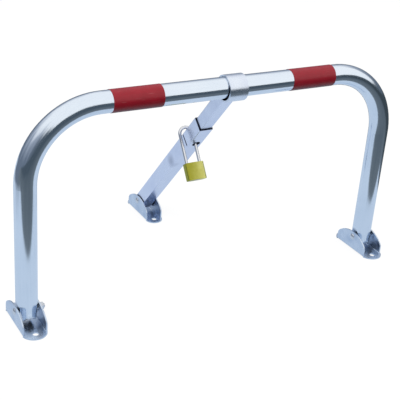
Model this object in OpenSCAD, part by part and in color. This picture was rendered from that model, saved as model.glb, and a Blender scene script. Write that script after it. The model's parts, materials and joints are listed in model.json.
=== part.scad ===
// Folding parking barrier. A bent tube hoop stands on two folded sheet feet. A strut of two
// box tubes, one inside the other, props it from a third foot behind it, and a padlock pins
// the two tubes together. With the padlock off, the hoop folds forward until it lies flat.
// The model stands on the ground plane, with its origin under the middle of its outline:
// +X runs along the crossbar, +Y runs from the hoop to the third foot, and +Z is up.

/* [Hoop] */
// Outside diameter of the hoop tube
tube_d = 40; // [36:1:44]
// Wall of the hoop tube
tube_wall = 2; // [1.5:0.5:3]
// Distance between the two legs, axis to axis
leg_spacing = 758; // [660:2:860]
// Height of the crossbar's axis above the ground
bar_height = 406; // [396:2:420]
// Radius of the two bends, on the tube's axis
bend_r = 135; // [100:5:160]
// Thickness of a leg's pinched end, at its lowest point
pinch_t = 20; // [16:1:24]
// Height above the ground from which a leg is pinched
pinch_h = 50; // [46:1:60]

/* [Red bands] */
// Length of a red band along the crossbar
band_len = 96; // [60:2:100]
// Distance of the left band's middle from the middle of the hoop
band_left_x = 180; // [150:2:190]
// Distance of the right band's middle from the middle of the hoop
band_right_x = 186; // [150:2:190]
// Thickness of a red band
band_t = 0.5; // [0.3:0.1:1]

/* [Feet] */
// Thickness of the folded sheet
sheet_t = 2.5; // [2:0.5:3]
// Outside radius of the folds between base and ears
fold_r = 4; // [3.5:0.5:6]
// Outside width of the two feet under the hoop
foot_w = 46; // [42:1:52]
// Outside width of the rear foot
rear_foot_w = 38; // [38:1:44]
// Half the length of an ear along the ground
ear_half = 46; // [44:1:54]
// Height of an ear above the ground
ear_h = 40; // [38:1:46]
// Radius of an ear's top edge
ear_top_r = 64; // [60:2:80]
// Radius of an ear's two ends
ear_end_r = 14; // [10:1:16]
// Length of the base's rounded tongue past the ears, at each end
tongue_len = 18; // [14:1:18]
// Distance of the anchor holes from the middle of a foot
anchor_at = 48; // [46:1:50]
// Diameter of the anchor holes in the base
anchor_d = 11; // [8:0.5:13]
// Distance of a foot's middle inwards from its pivot, towards the space under the strut
foot_inset = 2.5; // [0:0.5:4]
// Height of the pivots above the ground
pivot_h = 28; // [27:0.5:31]
// Distance from the hoop's pivots back to the rear foot's pivot
rear_reach = 326; // [320:2:340]

/* [Pivot bolts] */
// Diameter of the pivot bolts
bolt_d = 8; // [6:1:10]
// Diameter of the domed bolt heads
head_d = 14; // [13:1:16]
// Height of the domed bolt heads
head_h = 3.4; // [3:0.2:4.4]
// Width of the nuts across their flats
nut_af = 13; // [13:1:17]
// Height of the nuts
nut_h = 6.5; // [5:0.5:8]
// Length of bolt that stands out of a nut
bolt_tail = 2; // [1:0.5:4]
// Diameter of the washers under the nuts
washer_d = 17; // [16:1:22]
// Thickness of the washers under the nuts
washer_t = 1.6; // [1:0.2:2.4]
// Outside diameter of the washers beside a leg or the strut
side_washer_d = 14; // [12:1:16]
// Play between a bolt and the pieces that turn on it, on the radius
turn_play = 0.08; // [0.04:0.02:0.1]
// Play between a bolt and the pieces that stay still, on the radius
hole_play = 0.2; // [0.1:0.1:0.4]
// Gap beside a piece that turns between others
side_gap = 0.3; // [0.2:0.1:0.4]

/* [Strut] */
// Distance of the strut to the right of the hoop's middle
strut_side = 16; // [-60:2:60]
// Width of the lower, outer box tube
outer_box = 30; // [29:0.5:31]
// Wall of the lower box tube
outer_wall = 1.5; // [1:0.1:1.6]
// Width of the upper, inner box tube
inner_box = 25; // [23:0.5:25]
// Wall of the upper box tube
inner_wall = 1.5; // [1:0.5:2.5]
// Outside radius of the box tubes' corners
box_corner_r = 1.8; // [1.7:0.1:2.4]
// Length of the lower tube from its pivot to its top end
lower_len = 359; // [353:1:375]
// Length of the lower tube below its pivot
lower_tail = 12; // [10:1:13]
// Length of the upper tube that stands inside the lower one
nest_len = 80; // [76:2:90]
// Diameter of the padlock's hole through both tubes
lock_hole_d = 16.5; // [16.5:0.5:18]
// Distance of that hole to the right of the strut's middle
lock_hole_side = 1.5; // [1:0.5:2.5]
// Distance of that hole below the lower tube's top end
lock_hole_drop = 58; // [54:2:60]
// Distance below that end of the saw cut through the lower tube's left wall
slit_drop = 67; // [64:1:70]
// Width of that saw cut
slit_w = 1.6; // [1:0.2:2]

/* [Collar] */
// Length of the collar along the crossbar
collar_len = 38; // [33:1:60]
// Wall of the collar
collar_wall = 3.2; // [2.5:0.1:4]
// Play between the collar and the crossbar, on the radius
collar_play = 2; // [1.6:0.2:2.4]
// Size of the weld bead between the collar and the strut
weld_size = 3; // [2:0.5:4]

/* [Padlock] */
// Width of the padlock's case
case_w = 41; // [40:1:50]
// Height of the padlock's case
case_h = 35; // [32:1:40]
// Thickness of the padlock's case
case_t = 18; // [15:1:22]
// Radius of the case's long edges
case_r = 3; // [2:0.5:4]
// Diameter of the shackle
shackle_d = 6.5; // [6:0.5:6.5]
// Distance between the shackle's legs, axis to axis
shackle_w = 29; // [28:0.5:29.5]
// Length of shackle between the strut's front face and the case
shackle_drop = 35; // [26:1:40]
// Depth to which the shackle's opening leg reaches into the case
toe_depth = 9; // [7:1:11]
// Depth to which the shackle's other leg reaches into the case
heel_depth = 24; // [20:1:26]
// Gap between the shackle's bend and the strut's back edge
bend_gap = 3.6; // [3.6:0.2:4.8]
// Angle by which the padlock hangs out of square with the strut
hang_angle = 14; // [8:1:14]
// Diameter of the key plug in the case's bottom
plug_d = 12; // [10:0.5:14]
// Length of the key plug
plug_len = 5; // [4:0.5:6]
// Gap round the sliding and turning pieces of the padlock
lock_play = 0.1; // [0.06:0.02:0.2]

/* [Hidden] */
$fn = 64;

// Cutters reach this far past the faces that they open
cut = 1;
// Gap between a band and the tube that it is wrapped round
band_gap = 0.05;

// How far the nut and the head stand out of a foot, which sets the middle of the outline
nut_reach = washer_t + nut_h + bolt_tail;
mid_x = (head_h - nut_reach) / 2;
left_x = mid_x - leg_spacing / 2;
right_x = mid_x + leg_spacing / 2;
strut_x = mid_x + strut_side;
hoop_y = -rear_reach / 2;
rear_y = rear_reach / 2;

tube_r = tube_d / 2;
leg_end_r = tube_r + cut / 2;
bar_len = leg_spacing - 2 * bend_r;
leg_top = bar_height - bend_r;
bolt_r = bolt_d / 2;

// The strut runs from the rear pivot straight to the crossbar's axis
strut_rise = bar_height - pivot_h;
strut_len = sqrt(rear_reach * rear_reach + strut_rise * strut_rise);
strut_angle = atan2(strut_rise, rear_reach);
lock_hole_at = lower_len - lock_hole_drop;
upper_end = lower_len - nest_len;
collar_r = tube_r + collar_play + collar_wall;

// The collar hangs on the crossbar, so its axis lies lower than the crossbar's
collar_z = bar_height - collar_play + side_gap;

// The shackle's bend passes over the strut's back left edge, clear of it by bend_gap
half_depth = outer_box / 2 / cos(hang_angle);
bend_r_inside = (shackle_w - shackle_d) / 2;
bend_to_face = outer_box / 2 + lock_hole_side - shackle_w / 2;
bend_at = half_depth + bend_gap - sqrt(bend_r_inside * bend_r_inside - bend_to_face * bend_to_face);
case_top = -half_depth - shackle_drop;

// Half the thickness of a leg at a height above the ground, as it is pinched towards its end
function pinched(z) = pinch_t / 2
    + (tube_r - pinch_t / 2) * (z - pivot_h + leg_end_r) / (pinch_h - pivot_h + leg_end_r);

zinc = "lightsteelblue";
bright_zinc = "gainsboro";
band_red = "firebrick";
brass = "darkkhaki";

// A bar along Z with a square section of the given width and rounded corners
module box_bar(width, corner_r, from, to) {
    inside = width - 2 * corner_r;
    translate([0, 0, from]) linear_extrude(to - from) {
        square([width, inside], center = true);
        square([inside, width], center = true);
        for (x = [-1, 1], y = [-1, 1]) {
            translate([x * inside / 2, y * inside / 2]) circle(r = corner_r);
        }
    }
}

// Places its children in the strut's own frame: origin on the rear pivot, Z up the strut,
// and -Y towards the hoop, out of the strut's front face
module on_strut() {
    translate([strut_x, rear_y, pivot_h]) rotate([90 - strut_angle, 0, 0]) children();
}

// Places its children in the padlock's own frame: origin on the hole's middle, Z up the leg
module on_padlock() {
    on_strut() translate([lock_hole_side, 0, lock_hole_at]) rotate([hang_angle - 90, 0, 0])
        children();
}

// The padlock's hole, square through a box tube of the given width
module lock_hole(width) {
    translate([lock_hole_side, 0, lock_hole_at]) rotate([90, 0, 0])
        cylinder(d = lock_hole_d, h = width + 2 * cut, center = true);
}

// A cylinder along X, centred on x = 0
module rod_x(r, length) {
    rotate([0, 90, 0]) cylinder(r = r, h = length, center = true);
}

// The U section of a folded foot, open at the top, as the solid inside an outer face
module u_profile(width, height, corner_r) {
    translate([-width / 2, corner_r]) square([width, height - corner_r]);
    translate([-width / 2 + corner_r, 0]) square([width - 2 * corner_r, height]);
    for (side = [-1, 1]) {
        translate([side * (width / 2 - corner_r), corner_r]) circle(r = corner_r);
    }
}

// The side view of an ear: a low arc on top that runs smoothly into two round ends
module ear_profile() {
    end_x = ear_half - ear_end_r;
    top_z = ear_h - ear_top_r;
    end_z = top_z + sqrt(pow(ear_top_r - ear_end_r, 2) - end_x * end_x);
    reach = 2 * ear_top_r / (ear_top_r - ear_end_r);
    intersection() {
        translate([0, top_z]) circle(r = ear_top_r, $fn = 128);
        polygon([[0, top_z], [reach * end_x, top_z + reach * (end_z - top_z)],
            [-reach * end_x, top_z + reach * (end_z - top_z)]]);
    }
    for (end = [-1, 1]) {
        translate([end * end_x, end_z]) circle(r = ear_end_r);
    }
    translate([-ear_half, -cut]) square([2 * ear_half, end_z + cut]);
}

// One foot before its holes: a base with a rounded tongue at each end, and two domed ears
module foot_blank(width) {
    tongue_r = (width * width / 4 + tongue_len * tongue_len) / (2 * tongue_len);
    tongue_mid = ear_half + tongue_len - tongue_r;
    intersection() {
        rotate([90, 0, 0]) linear_extrude(2 * ear_half + 2 * cut, center = true) difference() {
            u_profile(width, ear_h + cut, fold_r);
            translate([0, sheet_t]) u_profile(width - 2 * sheet_t, ear_h + cut, fold_r - sheet_t);
        }
        rotate([90, 0, 90]) linear_extrude(width + 2 * cut, center = true) ear_profile();
    }
    linear_extrude(sheet_t) {
        square([width - 2 * fold_r, 2 * ear_half], center = true);
        for (end = [-1, 1]) {
            intersection() {
                translate([0, end * tongue_mid]) circle(r = tongue_r);
                translate([-width / 2, end > 0 ? ear_half : -ear_half - tongue_len])
                    square([width, tongue_len]);
            }
        }
    }
}

// One foot with its anchor holes and bolt hole, its middle at mid_y from the pivot
module foot(width, mid_y) {
    difference() {
        translate([0, mid_y, 0]) foot_blank(width);
        for (end = [-1, 1]) {
            translate([0, mid_y + end * anchor_at, -cut])
                cylinder(d = anchor_d, h = sheet_t + 2 * cut);
        }
        translate([0, 0, pivot_h]) rod_x(bolt_r + hole_play, width + 2 * cut);
    }
}

// A pivot bolt through a foot of the given width, with its domed head on the left
module pivot_bolt(width) {
    dome_r = (head_d * head_d / 4 + head_h * head_h) / (2 * head_h);
    translate([-width / 2, 0, 0]) rotate([0, 90, 0])
        cylinder(r = bolt_r, h = width + nut_reach);
    intersection() {
        translate([-width / 2 - head_h + dome_r, 0, 0]) rotate([0, 90, 0])
            rotate_extrude() intersection() {
                circle(r = dome_r, $fn = 128);
                translate([0, -dome_r]) square([dome_r, 2 * dome_r]);
            }
        translate([-width / 2 - head_h, 0, 0]) rotate([0, 90, 0])
            cylinder(d = head_d + cut, h = head_h);
    }
}

// A nut on the right end of that bolt, with its corners turned down
module pivot_nut(width) {
    corner_r = nut_af / 2 / cos(30);
    translate([width / 2 + washer_t, 0, 0]) rotate([0, 90, 0]) difference() {
        intersection() {
            cylinder(r = corner_r, h = nut_h, $fn = 6);
            rotate_extrude() polygon([[0, 0], [corner_r + cut, 0],
                [corner_r + cut, nut_h - corner_r + nut_af / 2 - cut / 2],
                [nut_af / 2 - cut / 2, nut_h], [0, nut_h]]);
        }
        translate([0, 0, -cut]) cylinder(r = bolt_r + lock_play, h = nut_h + 2 * cut);
    }
}

// A ring along X from one x to another, that fits round the bolt
module ring_x(outer_d, from, to) {
    translate([from, 0, 0]) rotate([0, 90, 0]) difference() {
        cylinder(d = outer_d, h = to - from);
        translate([0, 0, -cut]) cylinder(r = bolt_r + hole_play, h = to - from + 2 * cut);
    }
}

// A washer that fills the play between an ear and what turns beside it, on side -1 or 1
module side_washer(side, ear_face, turning_face) {
    near = turning_face + side_gap;
    ring_x(side_washer_d, side > 0 ? near : -ear_face, side > 0 ? ear_face : -near);
}

// The same beside a leg, where the washer's top meets the widest part of the pinched end
module leg_washer(side) {
    side_washer(side, foot_w / 2 - sheet_t, pinched(pivot_h + side_washer_d / 2));
}

// The same beside the strut in the rear foot
module strut_washer(side) {
    side_washer(side, rear_foot_w / 2 - sheet_t, outer_box / 2);
}

// The inside or outside of one leg, thinner by inset all round: a round bar that is pinched
// towards its lower end
module leg_bar(inset, end_r) {
    lowest = pivot_h - end_r;
    widest_z = pinch_h + (pinch_h - lowest) * cut / (tube_r - pinch_t / 2);
    half_low = pinched(lowest) - inset;
    half_top = pinched(widest_z) - inset;
    intersection() {
        cylinder(r = tube_r - inset, h = leg_top);
        rotate([90, 0, 0]) linear_extrude(tube_d + 2 * cut, center = true)
            polygon([[-half_low, lowest], [half_low, lowest], [half_top, widest_z],
                [half_top, leg_top + cut], [-half_top, leg_top + cut], [-half_top, widest_z]]);
        rotate([90, 0, 90]) linear_extrude(tube_d + 2 * cut, center = true) {
            translate([0, pivot_h]) circle(r = end_r);
            translate([-end_r, pivot_h]) square([2 * end_r, leg_top + cut - pivot_h]);
        }
    }
}

// The inside or outside of the whole hoop
module hoop_bar(inset, end_r) {
    r = tube_r - inset;
    translate([0, 0, bar_height]) rod_x(r, bar_len);
    for (side = [-1, 1]) {
        translate([side * bar_len / 2, 0, leg_top]) rotate([90, 0, 0])
            rotate([0, 0, side > 0 ? 0 : 90]) rotate_extrude(angle = 90)
                translate([bend_r, 0]) circle(r = r);
        translate([side * leg_spacing / 2, 0, 0]) leg_bar(inset, end_r);
    }
}

module foot_left() {
    color(zinc) translate([left_x, hoop_y, 0]) foot(foot_w, foot_inset);
}

module foot_right() {
    color(zinc) translate([right_x, hoop_y, 0]) foot(foot_w, foot_inset);
}

module foot_rear() {
    color(zinc) translate([strut_x, rear_y, 0]) foot(rear_foot_w, -foot_inset);
}

module pivot_bolt_left() {
    color(bright_zinc) translate([left_x, hoop_y, pivot_h]) pivot_bolt(foot_w);
}

module pivot_bolt_right() {
    color(bright_zinc) translate([right_x, hoop_y, pivot_h]) pivot_bolt(foot_w);
}

module pivot_bolt_rear() {
    color(bright_zinc) translate([strut_x, rear_y, pivot_h]) pivot_bolt(rear_foot_w);
}

module pivot_nut_left() {
    color(bright_zinc) translate([left_x, hoop_y, pivot_h]) pivot_nut(foot_w);
}

module pivot_nut_right() {
    color(bright_zinc) translate([right_x, hoop_y, pivot_h]) pivot_nut(foot_w);
}

module pivot_nut_rear() {
    color(bright_zinc) translate([strut_x, rear_y, pivot_h]) pivot_nut(rear_foot_w);
}

module nut_washer_left() {
    color(bright_zinc) translate([left_x, hoop_y, pivot_h])
        ring_x(washer_d, foot_w / 2, foot_w / 2 + washer_t);
}

module nut_washer_right() {
    color(bright_zinc) translate([right_x, hoop_y, pivot_h])
        ring_x(washer_d, foot_w / 2, foot_w / 2 + washer_t);
}

module nut_washer_rear() {
    color(bright_zinc) translate([strut_x, rear_y, pivot_h])
        ring_x(washer_d, rear_foot_w / 2, rear_foot_w / 2 + washer_t);
}

module side_washer_left_outer() {
    color(bright_zinc) translate([left_x, hoop_y, pivot_h]) leg_washer(-1);
}

module side_washer_left_inner() {
    color(bright_zinc) translate([left_x, hoop_y, pivot_h]) leg_washer(1);
}

module side_washer_right_inner() {
    color(bright_zinc) translate([right_x, hoop_y, pivot_h]) leg_washer(-1);
}

module side_washer_right_outer() {
    color(bright_zinc) translate([right_x, hoop_y, pivot_h]) leg_washer(1);
}

module side_washer_rear_left() {
    color(bright_zinc) translate([strut_x, rear_y, pivot_h]) strut_washer(-1);
}

module side_washer_rear_right() {
    color(bright_zinc) translate([strut_x, rear_y, pivot_h]) strut_washer(1);
}

// The hoop: one bent tube, open and pinched at both ends, with a bore through each end
module hoop_tube() {
    color(zinc) translate([mid_x, hoop_y, 0]) difference() {
        hoop_bar(0, leg_end_r);
        hoop_bar(tube_wall, leg_end_r + cut);
        translate([0, 0, pivot_h]) rod_x(bolt_r + turn_play, leg_spacing + tube_d);
    }
}

// A red band wrapped round the crossbar, with its middle at x from the middle of the hoop
module band(x) {
    color(band_red) translate([mid_x + x, hoop_y, bar_height]) difference() {
        rod_x(tube_r + band_gap + band_t, band_len);
        rod_x(tube_r + band_gap, band_len + 2 * cut);
    }
}

module band_left() {
    band(-band_left_x);
}

module band_right() {
    band(band_right_x);
}

// A bar along X on the collar's axis
module collar_bar(r, length) {
    translate([strut_x, hoop_y, collar_z]) rod_x(r, length);
}

// The collar that hangs and turns on the crossbar at the strut's upper end
module collar() {
    color(zinc) difference() {
        collar_bar(collar_r, collar_len);
        collar_bar(tube_r + collar_play, collar_len + 2 * cut);
    }
}

// The upper box tube: its top is cut to sit on the collar, its lower end is inside the other
module upper_strut() {
    color(zinc) difference() {
        on_strut() difference() {
            box_bar(inner_box, box_corner_r, upper_end, strut_len);
            box_bar(inner_box - 2 * inner_wall, box_corner_r - inner_wall,
                upper_end - cut, strut_len + cut);
            lock_hole(inner_box);
        }
        collar_bar(collar_r, collar_len + 2 * inner_box);
    }
}

// The weld bead round the foot of the collar, outside the upper box tube
module collar_weld() {
    color(bright_zinc) difference() {
        intersection() {
            collar_bar(collar_r + weld_size, collar_len - 2 * cut);
            on_strut() box_bar(inner_box + 2 * weld_size, box_corner_r + weld_size,
                strut_len - collar_r - 3 * weld_size, strut_len);
        }
        collar_bar(collar_r, collar_len + 2 * cut);
        on_strut() box_bar(inner_box, box_corner_r, 0, strut_len + cut);
    }
}

// The lower box tube, with the rear pivot at its foot and the padlock's hole near its top
module lower_strut() {
    color(zinc) on_strut() difference() {
        box_bar(outer_box, box_corner_r, -lower_tail, lower_len);
        box_bar(outer_box - 2 * outer_wall, box_corner_r - outer_wall,
            -lower_tail - cut, lower_len + cut);
        rod_x(bolt_r + turn_play, outer_box + 2 * cut);
        lock_hole(outer_box);
        translate([-outer_box / 2 - cut, -outer_box / 2 + box_corner_r, lower_len - slit_drop])
            cube([outer_wall + 2 * cut, outer_box - 2 * box_corner_r, slit_w]);
    }
}

// The shackle: the opening leg passes through the strut, the other leg hangs beside it
module padlock_shackle() {
    color(bright_zinc) on_padlock() translate([-shackle_w / 2, 0, bend_at]) {
        rotate([90, 0, 0]) rotate_extrude(angle = 180)
            translate([shackle_w / 2, 0]) circle(d = shackle_d);
        translate([shackle_w / 2, 0, 0]) rotate([180, 0, 0])
            cylinder(d = shackle_d, h = bend_at - case_top + toe_depth);
        translate([-shackle_w / 2, 0, 0]) rotate([180, 0, 0])
            cylinder(d = shackle_d, h = bend_at - case_top + heel_depth);
    }
}

// A rectangle with rounded corners, centred
module round_rect(width, height, r) {
    square([width, height - 2 * r], center = true);
    square([width - 2 * r, height], center = true);
    for (x = [-1, 1], y = [-1, 1]) {
        translate([x * (width / 2 - r), y * (height / 2 - r)]) circle(r = r);
    }
}

// The brass case, with blind bores for the two legs and the key plug
module padlock_case() {
    leg_bore = shackle_d / 2 + lock_play;
    color(brass) on_padlock() difference() {
        translate([-shackle_w / 2, 0, case_top - case_h / 2]) intersection() {
            linear_extrude(case_h, center = true) round_rect(case_w, case_t, case_r);
            rotate([90, 0, 0]) linear_extrude(case_t, center = true)
                round_rect(case_w, case_h, case_r / 2);
        }
        translate([0, 0, case_top - toe_depth - cut])
            cylinder(r = leg_bore, h = toe_depth + 2 * cut);
        translate([-shackle_w, 0, case_top - heel_depth - cut])
            cylinder(r = leg_bore, h = heel_depth + 2 * cut);
        translate([-shackle_w / 2, 0, case_top - case_h - cut])
            cylinder(r = plug_d / 2 + lock_play, h = plug_len + lock_play + cut);
    }
}

// The key plug, with its keyway, flush in the case's bottom
module padlock_plug() {
    keyway_w = plug_d / 6;
    keyway_l = plug_d * 0.7;
    color(bright_zinc) on_padlock() translate([-shackle_w / 2, 0, case_top - case_h])
        difference() {
            cylinder(d = plug_d, h = plug_len);
            translate([-keyway_w / 2, -keyway_l / 2, -cut])
                cube([keyway_w, keyway_l, plug_len / 2 + cut]);
        }
}

foot_left();
foot_right();
foot_rear();
pivot_bolt_left();
pivot_bolt_right();
pivot_bolt_rear();
pivot_nut_left();
pivot_nut_right();
pivot_nut_rear();
nut_washer_left();
nut_washer_right();
nut_washer_rear();
side_washer_left_outer();
side_washer_left_inner();
side_washer_right_inner();
side_washer_right_outer();
side_washer_rear_left();
side_washer_rear_right();
hoop_tube();
band_left();
band_right();
collar();
upper_strut();
collar_weld();
lower_strut();
padlock_shackle();
padlock_case();
padlock_plug();
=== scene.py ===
"""The looks of a folding parking barrier: zinc-plated tube, box tube and folded feet, red bands
and a brass padlock. Everything is in metres, in the frame's own axes."""
import json
import math

import bmesh
import bpy
from mathutils import Matrix, Vector

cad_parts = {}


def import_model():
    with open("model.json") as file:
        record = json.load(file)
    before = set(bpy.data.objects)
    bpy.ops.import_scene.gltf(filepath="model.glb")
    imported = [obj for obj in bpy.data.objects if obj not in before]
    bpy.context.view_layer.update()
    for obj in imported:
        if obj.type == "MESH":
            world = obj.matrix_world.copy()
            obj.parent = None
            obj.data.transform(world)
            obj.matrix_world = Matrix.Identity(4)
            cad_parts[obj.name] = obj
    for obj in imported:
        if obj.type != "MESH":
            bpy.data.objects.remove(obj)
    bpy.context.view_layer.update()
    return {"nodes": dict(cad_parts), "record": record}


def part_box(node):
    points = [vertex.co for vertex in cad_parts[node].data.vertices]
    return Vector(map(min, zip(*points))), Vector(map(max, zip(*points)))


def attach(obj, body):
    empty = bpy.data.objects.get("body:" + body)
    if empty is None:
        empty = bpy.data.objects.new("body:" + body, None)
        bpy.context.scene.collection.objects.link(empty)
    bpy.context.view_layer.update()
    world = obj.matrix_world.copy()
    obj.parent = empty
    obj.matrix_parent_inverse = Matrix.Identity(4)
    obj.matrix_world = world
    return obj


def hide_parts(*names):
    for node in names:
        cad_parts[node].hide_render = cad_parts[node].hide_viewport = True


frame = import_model()

X_AXIS = Vector((1, 0, 0))
WHITE = (1.0, 1.0, 1.0)

# Where a noise's values mostly lie. Every name below that ends in EDGE is a soft step, given by
# its place and its width.
NOISE_RANGE = (0.3, 0.7)
NOISE_MIDDLE = 0.5

# Camera, as it stood for the photograph: the view turns right, looks down and leans a little
CAMERA_AT = Vector((-0.8557, -1.5204, 0.9560))
CAMERA_TURN = 0.54227
CAMERA_DOWN = 0.45263
CAMERA_LEAN = 0.0783
CAMERA_REACH = 60
FOCAL_PIXELS = 930.24
IMAGE_PIXELS = 400
SENSOR_MM = 36

# Padlock case: its size, the corner radius of its solid, and the cuts that its crown bends at
CASE_W = 0.041
CASE_T = 0.018
CASE_R = 0.003
CASE_CUTS = 14
CASE_ROUNDED = 0.0006
CASE_ROUNDED_ANGLE = 50
CASE_SHARP_ANGLE = 35
SAME_POINT = 0.000001

# Rounding of the CAD nodes' sharp edges, by slot
ROUNDED = {"zinc_sheet": 0.0006, "bright_zinc": 0.0003}
ROUNDED_ANGLE = 40
ROUNDED_MERGE = 0.00001
ROUNDED_SEGMENTS = 2

# Thread of the pivot bolts. Its profile is in pitches along the bolt and millimetres out from
# it, and its foot has both.
MM = 0.001
BOLT_R = 0.004
THREAD_PITCH = 0.00125
THREAD_CREST = 0.35
THREAD_FOOT = (0.42, -0.12)
THREAD_ROOT = -0.3
THREAD_STEPS = 28
THREAD_FEWEST_STEPS = 8
THREAD_TAPER = 6
THREAD_FROM_NUT = 0.0003
THREAD_FROM_END = 0.0006

# Plating: drawn streaks, pits, scratches, painted shade in narrow gaps, and painted shade on cut
# ends
DRAWN_BY_NORMAL = 9.0
DRAWN_BY_PLACE = 5.0
DRAWN_SCALE = 2.2
PITS_SCALE = 1400
PITS_HEIGHT = 0.4
SCRATCH_SCALE = (34, 600, 600)
SCRATCH_EDGE = (0.74, 0.16)
SCRATCHED_PATCH_EDGE = (0.52, 0.1)
SCRATCH_ROUGHNESS = 0.07
SCRATCH_DEPTH = 0.05
PLATING_BUMP = 0.35
PLATING_GRAIN = 0.00002
CREVICE_REACH = 0.007
CREVICE_RANGE = (0.08, 0.5)
CREVICE_SAMPLES = 16
GAP_SHADE_TINT = (0.055, 0.10, 0.15)
# Painted shade on faces cut square to the strut, such as the tube ends at its joint
CUT_END_EDGE = (0.9, 0.1)
CUT_END_SHADE_COLOUR = (0.045, 0.055, 0.085)

# The outer strut tube's painted reflection, a dark spot, and its saw cut. The painted shade in and
# around the cut reaches up the strut, out from it, and through its wall.
REFLECTION_SPOT_AT = (-0.0024, 0.024, 0.183)
REFLECTION_SPOT_SIZE = (0.02, 0.018, 0.018)
REFLECTION_SPOT_EDGE = (0.6, 0.8)
REFLECTION_SPOT_SHARE = 0.45
REFLECTION_SPOT_COLOUR = (0.20, 0.23, 0.32)
SAW_CUT_UP = 0.2928
SAW_CUT_WALL = 0.015
SAW_CUT_REACH = (0.0017, 0.012, 0.0018)
SAW_CUT_EDGE = (1.0, 0.3)
SAW_CUT_SHADE_COLOUR = (0.035, 0.04, 0.10)

# Tints that are used more than once: the box tubes
BOX_BRIGHT = (0.80, 0.85, 0.98)
BOX_DULL = (0.72, 0.78, 0.95)

# Red bands
RED = (0.300, 0.007, 0.019)
RED_DEEP = (0.262, 0.005, 0.015)
RED_SCUFFED = (0.34, 0.05, 0.06)
RED_PATCHES_SCALE = 60
RED_ROUGHNESS = (0.30, 0.38)
RED_SPECULAR = 0.38
SCUFF_SCALE = (40, 700, 700)
SCUFF_EDGE = (0.68, 0.08)
SCUFF_ROUGHNESS = 0.15
RED_UNEVEN_SCALE = 140
RED_BUMP = 0.3
RED_GRAIN = 0.00006

# Brass case
BRASS_SHADED_AND_TARNISHED = (0.38, 0.37, 0.045)
BRASS_LIT = (0.86, 0.84, 0.30)
BRUSHING_SCALE = (60, 1800, 1800)
BRASS_ROUGHNESS = (0.24, 0.36)
BRASS_BUMP = 0.4
BRASS_GRAIN = 0.00003
TARNISH_SCALE = 90
TARNISH_SHIFT = 0.12
TARNISH_ROUGHNESS = 0.1

# Weld bead
WELD_BRIGHT = (0.50, 0.56, 0.68)
WELD_SOOTY = (0.36, 0.40, 0.50)
RIPPLE_SCALE = (700, 300, 300)
SOOT_SCALE = 260
WELD_ROUGHNESS = (0.30, 0.45)
WELD_BUMP = 0.8
WELD_GRAIN = 0.0005

# Floor: white with a shadow to the camera, and little light from it on the object
FLOOR_HALF = 9.0
FLOOR_DROP = 0.0004
FLOOR_GLOW = 1.06
FLOOR_PAPER = 0.9
FLOOR_SHADOW_SHARE = 0.2
FLOOR_BOUNCE = 0.06

# What the metal sees of the floor: a pale paper on dark slate. The paper's right side follows
# x = PAPER_CORNER + PAPER_SLANT * y as far in as PAPER_RIGHT, and the slate is darkest where
# x + SLATE_RIGHT_LEAN * y is large.
PAPER_TINT = (0.60, 0.69, 0.81)
PAPER_FRONT_EDGE = (-0.437, 0.03)
PAPER_BACK = 1.35
PAPER_BACK_SOFT = 0.5
PAPER_LEFT_EDGE = (-1.02, 0.35)
PAPER_RIGHT = 0.60
PAPER_CORNER = 0.667
PAPER_SLANT = -0.33
PAPER_RIGHT_SOFT = 0.05
PAPER_WAVER_SCALE = 3.0
PAPER_WAVER = 0.5
SLATE_NEAR = (0.150, 0.180, 0.205)
SLATE_FAR = (0.070, 0.095, 0.120)
SLATE_RIGHT = (0.050, 0.066, 0.078)
SLATE_NEAR_EDGE = (-0.85, 0.8)
SLATE_RIGHT_EDGE = (0.75, 0.3)
SLATE_RIGHT_LEAN = 0.5
SLATE_WAVER = 1.5
HAZE_EDGE = (-0.1, 0.9)

# What the metal sees of the world: white above an edge, which lies lower to the front right
HAZE_LOW = (0.15, 0.185, 0.24)
HAZE_HIGH = (0.44, 0.48, 0.56)
HAZE_HIGH_EDGE = (0.3, 0.5)
FRONT_RIGHT = (0.5, -0.86, 0.0)
FRONT_RIGHT_EDGE = (0.45, 0.7)
WHITE_FROM = 0.60
WHITE_FROM_DROP = 0.49
WHITE_SOFT = 0.30
WHITE_SOFT_DROP = 0.26
SKY_WAVER_SCALE = (3.0, 3.0, 0.6)
SKY_WAVER = 0.6
SKY_LIGHT = 0.8
SKY_SEEN_MORE = 0.2

# Lamps
LAMPS_AIM_AT = Vector((0, 0, 0.2))
KEY_AT = (-1.3, -1.0, 2.3)
KEY_WATTS = 26
KEY_SIZE = 1.4
FILL_AT = (1.6, -1.4, 1.6)
FILL_WATTS = 7
FILL_SIZE = 1.8


def joint(name):
    """A joint of the record."""
    return next(row for row in frame["record"]["behaviour"]["joints"] if row["name"] == name)


def joint_at(name):
    """Where a joint of the record stands."""
    return Vector(joint(name)["pos_m"])


# The strut's own directions, and the middle of the saw cut in its left wall
STRUT_UP = (joint_at("collar_swivel") - joint_at("lower_strut_fold")).normalized()
STRUT_OUT = STRUT_UP.cross(X_AXIS)
SAW_CUT = joint_at("lower_strut_fold") + STRUT_UP * SAW_CUT_UP - X_AXIS * SAW_CUT_WALL


def link(thing):
    """Puts a new object into the scene."""
    bpy.context.scene.collection.objects.link(thing)


def node_tree(name):
    """A new material with its shader, output and object coordinates ready."""
    mat = bpy.data.materials.new(name)
    mat.use_nodes = True
    tree = mat.node_tree
    shader = tree.nodes["Principled BSDF"]
    place = tree.nodes.new("ShaderNodeTexCoord")
    return mat, tree, shader, place


def join(tree, start, end):
    """A link from an output to an input."""
    tree.links.new(start, end)


def noise(tree, vector, scale, detail, rough=0.55):
    """A noise texture's value, at a scale in waves per metre."""
    node = tree.nodes.new("ShaderNodeTexNoise")
    node.inputs["Scale"].default_value = scale
    node.inputs["Detail"].default_value = detail
    node.inputs["Roughness"].default_value = rough
    join(tree, vector, node.inputs["Vector"])
    return node.outputs["Fac"]


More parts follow.
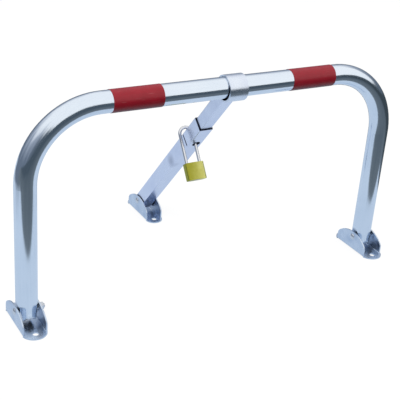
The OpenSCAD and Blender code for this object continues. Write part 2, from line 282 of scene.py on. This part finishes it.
def stretched(tree, vector, scale):
    """Coordinates stretched by a scale for each axis."""
    node = tree.nodes.new("ShaderNodeMapping")
    node.inputs["Scale"].default_value = scale
    join(tree, vector, node.inputs["Vector"])
    return node.outputs["Vector"]


def stretched_noise(tree, vector, scale, detail):
    """A noise texture's value, at a scale for each axis."""
    return noise(tree, stretched(tree, vector, scale), 1.0, detail)


def spread(tree, value, low, high):
    """The value, from its usual middle range, spread from low to high."""
    node = tree.nodes.new("ShaderNodeMapRange")
    node.inputs["From Min"].default_value = NOISE_RANGE[0]
    node.inputs["From Max"].default_value = NOISE_RANGE[1]
    node.inputs["To Min"].default_value = low
    node.inputs["To Max"].default_value = high
    join(tree, value, node.inputs["Value"])
    return node.outputs["Result"]


def above(tree, value, edge, width):
    """0 below an edge, 1 above it, with a soft step of a width between."""
    node = tree.nodes.new("ShaderNodeMapRange")
    node.inputs["From Min"].default_value = edge - width / 2
    node.inputs["From Max"].default_value = edge + width / 2
    join(tree, value, node.inputs["Value"])
    return node.outputs["Result"]


def maths(tree, kind, a, b):
    """A sum, product or the like of two values, where each is a socket or a number."""
    node = tree.nodes.new("ShaderNodeMath")
    node.operation = kind
    for socket, value in zip(node.inputs, (a, b)):
        if isinstance(value, (int, float)):
            socket.default_value = value
        else:
            join(tree, value, socket)
    return node.outputs["Value"]


def plus(tree, a, b):
    return maths(tree, "ADD", a, b)


def minus(tree, a, b):
    return maths(tree, "SUBTRACT", a, b)


def times(tree, a, b):
    return maths(tree, "MULTIPLY", a, b)


def vector_maths(tree, kind, vector, constant):
    """A vector operation's node, on a socket and a plain vector."""
    node = tree.nodes.new("ShaderNodeVectorMath")
    node.operation = kind
    join(tree, vector, node.inputs[0])
    node.inputs[1].default_value = constant
    return node


def shifted(tree, vector, spot):
    """A place, counted from a spot."""
    return vector_maths(tree, "SUBTRACT", vector, spot).outputs["Vector"]


def dotted(tree, vector, way):
    """How far a vector goes along a direction."""
    return vector_maths(tree, "DOT_PRODUCT", vector, way).outputs["Value"]


def combined(tree, first, first_scale, second, second_scale):
    """Two vectors, each times a number, added."""
    scaled = []
    for vector, scale in ((first, first_scale), (second, second_scale)):
        node = tree.nodes.new("ShaderNodeVectorMath")
        node.operation = "SCALE"
        node.inputs["Scale"].default_value = scale
        join(tree, vector, node.inputs[0])
        scaled.append(node.outputs["Vector"])
    total = tree.nodes.new("ShaderNodeVectorMath")
    total.operation = "ADD"
    join(tree, scaled[0], total.inputs[0])
    join(tree, scaled[1], total.inputs[1])
    return total.outputs["Vector"]


def split(tree, vector):
    """The outputs X, Y and Z of a vector."""
    node = tree.nodes.new("ShaderNodeSeparateXYZ")
    join(tree, vector, node.inputs["Vector"])
    return node.outputs


def blended(tree, share, first, second):
    """Two colours mixed by a share, where each is a socket or a plain colour."""
    node = tree.nodes.new("ShaderNodeMix")
    node.data_type = "RGBA"
    join(tree, share, node.inputs["Factor"])
    for name, colour in (("A", first), ("B", second)):
        socket = [s for s in node.inputs if s.name == name and s.type == "RGBA"][0]
        if isinstance(colour, tuple):
            socket.default_value = (*colour, 1)
        else:
            join(tree, colour, socket)
    return [s for s in node.outputs if s.type == "RGBA"][0]


def painted_gap_shade(tree):
    """1 on open surfaces, less in narrow gaps, where the plating is painted darker as painted
    shade.
    """
    node = tree.nodes.new("ShaderNodeAmbientOcclusion")
    node.inputs["Distance"].default_value = CREVICE_REACH
    node.samples = CREVICE_SAMPLES
    low, high = CREVICE_RANGE
    return above(tree, node.outputs["AO"], (low + high) / 2, high - low)


def bumped(tree, shader, height, strength, depth):
    """Gives the shader a bump: a height without a unit, times a depth in metres."""
    node = tree.nodes.new("ShaderNodeBump")
    node.inputs["Strength"].default_value = strength
    node.inputs["Distance"].default_value = depth
    join(tree, height, node.inputs["Height"])
    join(tree, node.outputs["Normal"], shader.inputs["Normal"])


def painted_reflection_spot(tree, where):
    """1 on the strut's painted reflection, a dark spot, and less away from it, over a soft oval.
    """
    scaled = stretched(tree, shifted(tree, where, REFLECTION_SPOT_AT), tuple(1 / v for v in REFLECTION_SPOT_SIZE))
    length = tree.nodes.new("ShaderNodeVectorMath")
    length.operation = "LENGTH"
    join(tree, scaled, length.inputs[0])
    return minus(tree, 1.0, above(tree, length.outputs["Value"], *REFLECTION_SPOT_EDGE))


def saw_cut_shade(tree, where):
    """1 in and around the saw cut in the strut's left wall, which is painted dark as painted
    shade.
    """
    shift = shifted(tree, where, SAW_CUT)
    furthest = 0.0
    for way, reach in zip((STRUT_UP, STRUT_OUT, X_AXIS), SAW_CUT_REACH):
        away = maths(tree, "ABSOLUTE", dotted(tree, shift, way / reach), 0)
        furthest = maths(tree, "MAXIMUM", away, furthest)
    return minus(tree, 1.0, above(tree, furthest, *SAW_CUT_EDGE))


def plated(name, bright, dull, rough, mottle, streaks, shaded_ends=None, strut_painted_light=False):
    """Zinc plating: two close tints in soft patches, drawn streaks, pits and a few scratches, with
    painted shade in narrow gaps. Its roughness is given as lowest and highest, its mottle in
    patches per metre. Ends that were cut square to an axis are painted dark as painted shade. The
    strut's painted light is a dark painted reflection and painted shade in and around its saw cut."""
    mat, tree, shader, place = node_tree(name)
    shader.inputs["Metallic"].default_value = 1.0
    where = place.outputs["Object"]
    patches = noise(tree, where, mottle, detail=5)
    # Streaks of a drawn tube follow its length, along which the surface's direction is constant
    along = combined(tree, place.outputs["Normal"], DRAWN_BY_NORMAL, where, DRAWN_BY_PLACE)
    drawn = noise(tree, along, DRAWN_SCALE, detail=8, rough=0.7)
    pits = noise(tree, where, PITS_SCALE, detail=3)
    scratch = stretched_noise(tree, where, SCRATCH_SCALE, detail=2)
    marks = times(tree, above(tree, scratch, *SCRATCH_EDGE),
                  above(tree, patches, *SCRATCHED_PATCH_EDGE))
    tone = plus(tree, patches, times(tree, minus(tree, drawn, NOISE_MIDDLE), streaks))
    clean = blended(tree, spread(tree, tone, 0, 1), bright, dull)
    if strut_painted_light:
        # Painted reflection: a soft dark spot on the strut's side
        reflection_share = times(tree, painted_reflection_spot(tree, where), REFLECTION_SPOT_SHARE)
        clean = blended(tree, reflection_share, clean, REFLECTION_SPOT_COLOUR)
        # Painted shade: the saw cut and its edges are painted dark
        clean = blended(tree, saw_cut_shade(tree, where), clean, SAW_CUT_SHADE_COLOUR)
    # Painted shade: faces cut square to the axis are painted near black
    if shaded_ends:
        facing = maths(tree, "ABSOLUTE", dotted(tree, place.outputs["Normal"], shaded_ends), 0)
        clean = blended(tree, above(tree, facing, *CUT_END_EDGE), clean, CUT_END_SHADE_COLOUR)
    # Painted shade: narrow gaps take a dark teal tint of the dull plating
    gap_shade_colour = tuple(t * v for t, v in zip(GAP_SHADE_TINT, dull))
    join(tree, blended(tree, painted_gap_shade(tree), gap_shade_colour, clean), shader.inputs["Base Color"])
    join(tree, plus(tree, spread(tree, tone, *rough), times(tree, marks, SCRATCH_ROUGHNESS)),
         shader.inputs["Roughness"])
    height = plus(tree, times(tree, drawn, streaks), times(tree, pits, PITS_HEIGHT))
    height = minus(tree, height, times(tree, marks, SCRATCH_DEPTH))
    bumped(tree, shader, height, PLATING_BUMP, PLATING_GRAIN)
    return mat


def red_sleeve():
    """The red bands: smooth plastic film with faint scuffs and a slightly uneven surface."""
    mat, tree, shader, place = node_tree("red_sleeve")
    where = place.outputs["Object"]
    patches = noise(tree, where, RED_PATCHES_SCALE, detail=5)
    scuffs = stretched_noise(tree, where, SCUFF_SCALE, detail=3)
    worn = above(tree, scuffs, *SCUFF_EDGE)
    red = blended(tree, spread(tree, patches, 0, 1), RED, RED_DEEP)
    join(tree, blended(tree, worn, red, RED_SCUFFED), shader.inputs["Base Color"])
    join(tree, plus(tree, spread(tree, patches, *RED_ROUGHNESS),
                    times(tree, worn, SCUFF_ROUGHNESS)), shader.inputs["Roughness"])
    shader.inputs["Specular IOR Level"].default_value = RED_SPECULAR
    uneven = plus(tree, noise(tree, where, RED_UNEVEN_SCALE, detail=3), scuffs)
    bumped(tree, shader, uneven, RED_BUMP, RED_GRAIN)
    return mat


def brass():
    """The padlock's case: brushed brass, with painted shade on its left and a painted highlight
    to its right, some random tarnish, and its grain across the case."""
    mat, tree, shader, place = node_tree("brass")
    shader.inputs["Metallic"].default_value = 1.0
    where = place.outputs["Object"]
    brushing = stretched_noise(tree, where, BRUSHING_SCALE, detail=3)
    tarnish = noise(tree, where, TARNISH_SCALE, detail=6)
    # Painted shade and highlight: the case is darker on its left and brighter to its right, with
    # random tarnish on top
    painted_lit_side = above(tree, split(tree, where)["X"], joint_at("key_turn").x, CASE_W)
    lit_side_and_tarnish = plus(tree, painted_lit_side, spread(tree, tarnish, -TARNISH_SHIFT, TARNISH_SHIFT))
    join(tree, blended(tree, times(tree, lit_side_and_tarnish, lit_side_and_tarnish), BRASS_SHADED_AND_TARNISHED, BRASS_LIT),
         shader.inputs["Base Color"])
    join(tree, plus(tree, spread(tree, brushing, *BRASS_ROUGHNESS),
                    times(tree, tarnish, TARNISH_ROUGHNESS)), shader.inputs["Roughness"])
    bumped(tree, shader, brushing, BRASS_BUMP, BRASS_GRAIN)
    return mat


def weld_metal():
    """The weld bead under the plating: rippled and duller than the tubes."""
    mat, tree, shader, place = node_tree("weld_metal")
    shader.inputs["Metallic"].default_value = 1.0
    where = place.outputs["Object"]
    ripple = stretched_noise(tree, where, RIPPLE_SCALE, detail=3)
    soot = noise(tree, where, SOOT_SCALE, detail=4)
    join(tree, blended(tree, spread(tree, soot, 0, 1), WELD_BRIGHT, WELD_SOOTY),
         shader.inputs["Base Color"])
    join(tree, spread(tree, soot, *WELD_ROUGHNESS), shader.inputs["Roughness"])
    bumped(tree, shader, ripple, WELD_BUMP, WELD_GRAIN)
    return mat


# Materials by slot. A plating has its bright and dull tint, its roughness, mottle and streaks.
MATERIALS = {
    "zinc_tube": plated("tube_plating", (0.80, 0.87, 0.95), (0.72, 0.80, 0.90),
                        (0.10, 0.17), 9, 0.9),
    "zinc_box": plated("box_plating", BOX_BRIGHT, BOX_DULL, (0.24, 0.34), 16, 0.4,
                       shaded_ends=STRUT_UP, strut_painted_light=True),
    "zinc_sheet": plated("sheet_plating", (0.70, 0.78, 0.89), (0.54, 0.64, 0.79),
                         (0.24, 0.36), 40, 0.1),
    "bright_zinc": plated("fastener_plating", (0.78, 0.80, 0.84), (0.66, 0.70, 0.76),
                          (0.20, 0.32), 120, 0.1),
    "weld": weld_metal(),
    "red_band": red_sleeve(),
    "brass_case": brass(),
    "chrome_shackle": plated("shackle_chrome", (0.80, 0.81, 0.83), (0.72, 0.73, 0.76),
                             (0.07, 0.14), 80, 0.3),
    "plug_steel": plated("plug_metal", (0.62, 0.60, 0.52), (0.50, 0.48, 0.42),
                         (0.25, 0.35), 200, 0.1),
}
# Nodes that differ from the rest of their slot
OWN_MATERIALS = {
    "collar": plated("collar_plating", (0.80, 0.86, 0.95), (0.72, 0.78, 0.90),
                     (0.24, 0.33), 30, 0.4),
    "upper_strut": plated("inner_box_plating", BOX_BRIGHT, BOX_DULL, (0.24, 0.34), 16, 0.4,
                          shaded_ends=STRUT_UP),
}


def round_edges(piece, width, angle):
    """Rounds the piece's edges that are sharper than an angle in degrees."""
    bevel = piece.modifiers.new("edges", "BEVEL")
    bevel.width = width
    bevel.segments = ROUNDED_SEGMENTS
    bevel.limit_method = "ANGLE"
    bevel.angle_limit = math.radians(angle)


def dress_nodes():
    """Each CAD node takes its own material or its slot's, and some have their edges rounded."""
    for part in frame["record"]["subparts"]:
        piece = frame["nodes"][part["node"]]
        slot = part["material_slot"]
        piece.data.materials.clear()
        piece.data.materials.append(OWN_MATERIALS.get(part["node"], MATERIALS[slot]))
        if slot in ROUNDED:
            weld = piece.modifiers.new("weld", "WELD")
            weld.merge_threshold = ROUNDED_MERGE
            round_edges(piece, ROUNDED[slot], ROUNDED_ANGLE)


def case_half(w):
    """Half the thickness of the padlock's crowned case at a distance from its middle."""
    share = min(1.0, 2 * w / CASE_W)
    return CASE_T / 4 * (1 + math.sqrt(1 - share * share))


def solid_half(w):
    """Half the thickness of the padlock's solid at a distance from its middle."""
    rounded = max(0.0, w - (CASE_W / 2 - CASE_R))
    return CASE_T / 2 - CASE_R + math.sqrt(max(0.0, CASE_R * CASE_R - rounded * rounded))


def padlock_case():
    """The brass case: the solid's own mesh with its two faces crowned and its sides rounded."""
    mesh = frame["nodes"]["padlock_case"].data.copy()
    mesh.name = "case_body"
    down = Vector(joint("padlock_release")["axis"]).normalized()
    outward = X_AXIS.cross(down).normalized()
    middle = joint_at("key_turn")
    form = bmesh.new()
    form.from_mesh(mesh)
    bmesh.ops.remove_doubles(form, verts=form.verts, dist=SAME_POINT)
    for side in (-1, 1):
        for step in range(CASE_CUTS):
            w = CASE_W / 2 * math.sin((step + 0.5) / CASE_CUTS * math.pi / 2)
            bmesh.ops.bisect_plane(form, geom=form.verts[:] + form.edges[:] + form.faces[:],
                                   plane_co=middle + side * w * X_AXIS, plane_no=X_AXIS,
                                   dist=SAME_POINT)
    for vertex in form.verts:
        from_middle = vertex.co - middle
        w = abs(from_middle.dot(X_AXIS))
        t = from_middle.dot(outward)
        # The shackle's bores are nearer the middle and stay; the plug's moves less than its play
        if abs(t) > CASE_T / 4:
            vertex.co += outward * t * (case_half(w) / solid_half(w) - 1)
    form.normal_update()
    form.to_mesh(mesh)
    form.free()
    mesh.materials.clear()
    mesh.materials.append(MATERIALS["brass_case"])
    for face in mesh.polygons:
        face.use_smooth = True
    mesh.set_sharp_from_angle(angle=math.radians(CASE_SHARP_ANGLE))
    piece = bpy.data.objects.new("case_body", mesh)
    link(piece)
    round_edges(piece, CASE_ROUNDED, CASE_ROUNDED_ANGLE)
    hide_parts("padlock_case")
    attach(piece, "padlock_case")


def thread(name, centre, start, end):
    """The thread on a bolt's free end: one ridge wound round it from one x to another."""
    form = bmesh.new()
    turns = (end - start) / THREAD_PITCH
    count = max(THREAD_FEWEST_STEPS, int(turns * THREAD_STEPS))
    side, foot = THREAD_FOOT
    rings = []
    for i in range(count + 1):
        share = i / count
        angle = share * turns * 2 * math.pi
        taper = min(1.0, THREAD_TAPER * share, THREAD_TAPER * (1 - share))
        x = start + share * (end - start)
        ring = []
        for dx, dr in ((-side, foot), (0.0, THREAD_CREST * taper), (side, foot),
                       (0.0, THREAD_ROOT)):
            r = BOLT_R + dr * MM
            ring.append(form.verts.new((x + dx * THREAD_PITCH, centre.y + r * math.cos(angle),
                                        centre.z + r * math.sin(angle))))
        rings.append(ring)
    for first, second in zip(rings, rings[1:]):
        for a in range(4):
            b = (a + 1) % 4
            form.faces.new((first[a], first[b], second[b], second[a]))
    form.faces.new(rings[0])
    form.faces.new(list(reversed(rings[-1])))
    bmesh.ops.recalc_face_normals(form, faces=form.faces[:])
    mesh = bpy.data.meshes.new(name)
    form.to_mesh(mesh)
    form.free()
    mesh.materials.append(MATERIALS["bright_zinc"])
    piece = bpy.data.objects.new(name, mesh)
    link(piece)
    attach(piece, "feet")


def threads():
    """A thread on each of the three pivot bolts, outside its nut."""
    for side, pivot in (("left", "hoop_fold"), ("right", "hoop_fold"),
                        ("rear", "lower_strut_fold")):
        nut_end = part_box("pivot_nut_" + side)[1].x
        bolt_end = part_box("pivot_bolt_" + side)[1].x
        thread("thread_" + side, joint_at(pivot), nut_end + THREAD_FROM_NUT,
               bolt_end - THREAD_FROM_END)


def camera():
    """The photograph's camera."""
    fwd = Vector((math.sin(CAMERA_TURN) * math.cos(CAMERA_DOWN),
                  math.cos(CAMERA_TURN) * math.cos(CAMERA_DOWN), -math.sin(CAMERA_DOWN)))
    level = Vector((math.cos(CAMERA_TURN), -math.sin(CAMERA_TURN), 0))
    top = level.cross(fwd)
    right = math.cos(CAMERA_LEAN) * level + math.sin(CAMERA_LEAN) * top
    up = math.cos(CAMERA_LEAN) * top - math.sin(CAMERA_LEAN) * level
    data = bpy.data.cameras.new("camera")
    data.sensor_width = SENSOR_MM
    data.lens = FOCAL_PIXELS / IMAGE_PIXELS * SENSOR_MM
    data.clip_end = CAMERA_REACH
    holder = bpy.data.objects.new("camera", data)
    turn = Matrix((right, up, -fwd)).transposed().to_4x4()
    holder.matrix_world = Matrix.Translation(CAMERA_AT) @ turn
    link(holder)
    bpy.context.scene.camera = holder


def plane(name, low_x, high_x, low_y, high_y, z):
    """A flat sheet of the studio."""
    mesh = bpy.data.meshes.new(name)
    corners = [(low_x, low_y, z), (high_x, low_y, z), (high_x, high_y, z), (low_x, high_y, z)]
    mesh.from_pydata(corners, [], [(0, 1, 2, 3)])
    piece = bpy.data.objects.new(name, mesh)
    link(piece)
    return piece


def mixed_shader(tree, share, first, second):
    """Two shaders mixed by a share."""
    mix = tree.nodes.new("ShaderNodeMixShader")
    if isinstance(share, float):
        mix.inputs["Fac"].default_value = share
    else:
        join(tree, share, mix.inputs["Fac"])
    join(tree, first, mix.inputs[1])
    join(tree, second, mix.inputs[2])
    return mix.outputs["Shader"]


def glow(tree, colour, strength):
    """An emission shader of a plain colour or a socket."""
    node = tree.nodes.new("ShaderNodeEmission")
    if isinstance(colour, tuple):
        node.inputs["Color"].default_value = (*colour, 1)
    else:
        join(tree, colour, node.inputs["Color"])
    node.inputs["Strength"].default_value = strength
    return node.outputs["Emission"]


def paper(tree, albedo):
    """A diffuse shader of a plain grey."""
    node = tree.nodes.new("ShaderNodeBsdfDiffuse")
    node.inputs["Color"].default_value = (albedo, albedo, albedo, 1)
    return node.outputs["BSDF"]


def floor():
    """White with a faint shadow to the camera; to the metal, a pale paper on dark slate."""
    piece = plane("floor", -FLOOR_HALF, FLOOR_HALF, -FLOOR_HALF, FLOOR_HALF, -FLOOR_DROP)
    mat = bpy.data.materials.new("floor_paper")
    mat.use_nodes = True
    tree = mat.node_tree
    tree.nodes.clear()
    rays = tree.nodes.new("ShaderNodeLightPath").outputs
    spot = tree.nodes.new("ShaderNodeNewGeometry").outputs["Position"]
    axes = split(tree, spot)
    x, y = axes["X"], axes["Y"]
    streaks = noise(tree, spot, PAPER_WAVER_SCALE, detail=3)
    waver = times(tree, minus(tree, streaks, NOISE_MIDDLE), PAPER_WAVER)
    front = above(tree, y, *PAPER_FRONT_EDGE)
    back = above(tree, times(tree, plus(tree, y, waver), -1.0), -PAPER_BACK, PAPER_BACK_SOFT)
    left = above(tree, minus(tree, x, waver), *PAPER_LEFT_EDGE)
    slant = plus(tree, times(tree, y, PAPER_SLANT), PAPER_CORNER)
    right_side = maths(tree, "MAXIMUM", slant, PAPER_RIGHT)
    right = above(tree, minus(tree, right_side, x), 0.0, PAPER_RIGHT_SOFT)
    pale = times(tree, times(tree, front, back), times(tree, left, right))
    depth = plus(tree, y, times(tree, waver, SLATE_WAVER))
    ahead = blended(tree, above(tree, depth, *SLATE_NEAR_EDGE), SLATE_FAR, SLATE_NEAR)
    deep_right = plus(tree, x, times(tree, y, SLATE_RIGHT_LEAN))
    slate = blended(tree, above(tree, depth, *HAZE_EDGE), ahead, HAZE_LOW)
    slate = blended(tree, above(tree, deep_right, *SLATE_RIGHT_EDGE), slate, SLATE_RIGHT)
    seen_by_metal = glow(tree, blended(tree, pale, slate, PAPER_TINT), 1.0)
    to_camera = mixed_shader(tree, FLOOR_SHADOW_SHARE, glow(tree, WHITE, FLOOR_GLOW),
                             paper(tree, FLOOR_PAPER))
    plain = mixed_shader(tree, rays["Is Camera Ray"], paper(tree, FLOOR_BOUNCE), to_camera)
    out = tree.nodes.new("ShaderNodeOutputMaterial")
    join(tree, mixed_shader(tree, rays["Is Glossy Ray"], plain, seen_by_metal),
         out.inputs["Surface"])
    piece.data.materials.append(mat)


def lamp(name, at, watts, size):
    """A soft lamp that looks at the object and isn't seen in the metal."""
    data = bpy.data.lights.new(name, "AREA")
    data.energy = watts
    data.size = size
    holder = bpy.data.objects.new(name, data)
    holder.location = at
    holder.rotation_euler = (LAMPS_AIM_AT - Vector(at)).to_track_quat("-Z", "Y").to_euler()
    holder.visible_glossy = False
    link(holder)


def world():
    """White to the camera and as light; to the metal, white high up, and low down a haze, which
    is dark slate to the front right."""
    sky = bpy.data.worlds.new("studio")
    bpy.context.scene.world = sky
    sky.use_nodes = True
    tree = sky.node_tree
    rays = tree.nodes.new("ShaderNodeLightPath").outputs
    background = tree.nodes["Background"]
    way = tree.nodes.new("ShaderNodeTexCoord").outputs["Generated"]
    up = split(tree, way)["Z"]
    towards = dotted(tree, way, FRONT_RIGHT)
    streaks = stretched_noise(tree, way, SKY_WAVER_SCALE, detail=4)
    waver = times(tree, minus(tree, streaks, NOISE_MIDDLE), SKY_WAVER)
    ahead = above(tree, towards, *FRONT_RIGHT_EDGE)
    white_from = minus(tree, WHITE_FROM, times(tree, ahead, WHITE_FROM_DROP))
    height = minus(tree, plus(tree, up, waver), white_from)
    soft = minus(tree, WHITE_SOFT, times(tree, ahead, WHITE_SOFT_DROP))
    # The same soft step as in above(), with a width that varies
    bright = plus(tree, maths(tree, "DIVIDE", height, soft), 0.5)
    bright.node.use_clamp = True
    hazy = blended(tree, above(tree, plus(tree, up, waver), *HAZE_HIGH_EDGE), HAZE_LOW, HAZE_HIGH)
    low = blended(tree, ahead, hazy, SLATE_FAR)
    metal_sees = blended(tree, bright, low, WHITE)
    metal = minus(tree, rays["Is Glossy Ray"], rays["Is Camera Ray"])
    metal.node.use_clamp = True
    join(tree, blended(tree, metal, WHITE, metal_sees), background.inputs["Color"])
    seen = maths(tree, "MAXIMUM", rays["Is Camera Ray"], rays["Is Glossy Ray"])
    seen = maths(tree, "MAXIMUM", seen, rays["Is Transmission Ray"])
    join(tree, plus(tree, times(tree, seen, SKY_SEEN_MORE), SKY_LIGHT),
         background.inputs["Strength"])


dress_nodes()
padlock_case()
threads()
camera()
floor()
lamp("key", KEY_AT, KEY_WATTS, KEY_SIZE)
lamp("fill", FILL_AT, FILL_WATTS, FILL_SIZE)
world()
bpy.context.scene.view_settings.view_transform = "Standard"
